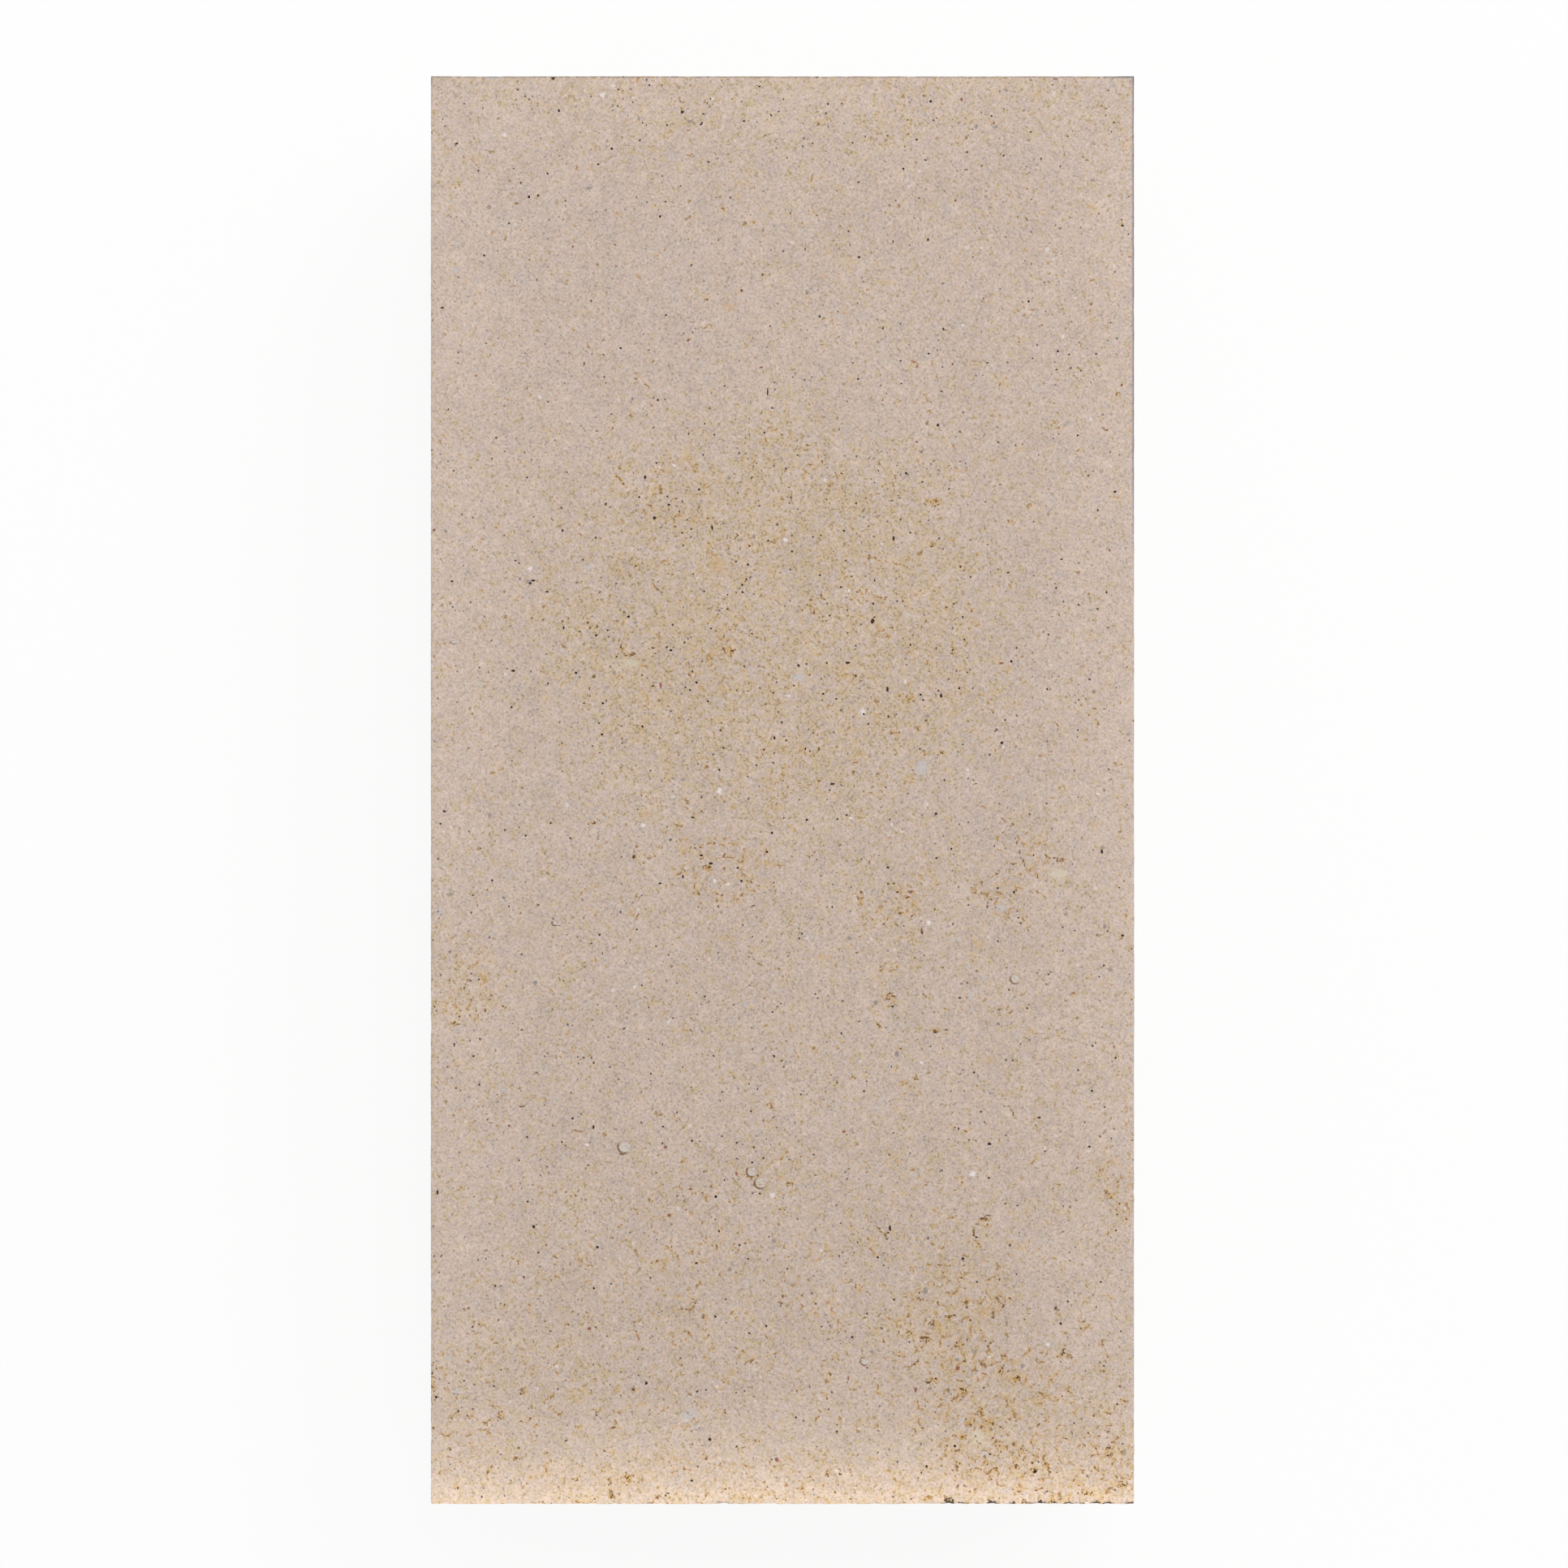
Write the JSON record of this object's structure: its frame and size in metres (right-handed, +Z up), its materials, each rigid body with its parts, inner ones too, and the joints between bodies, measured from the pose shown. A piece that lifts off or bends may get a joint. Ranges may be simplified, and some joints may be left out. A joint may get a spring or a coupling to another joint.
{
  "type": "refractory firebrick",
  "caption": "Rectangular dense fireclay brick with plain bed, side and end faces and sharp arrises, laid in the linings of kilns, ovens and fireplaces.",
  "frame": {"origin": "middle of the lower bed face, on the surface the brick lies on", "axes": "+Y along the brick's length, +X across its width, +Z up through its thickness"},
  "size_m": [0.1134, 0.23, 0.064],
  "materials": {
    "fireclay": "matt fired fireclay, pinkish beige with ochre, pale and dark grains"
  },
  "bodies": {
    "root": {"firebrick": "fireclay"}
  },
  "joints": []
}
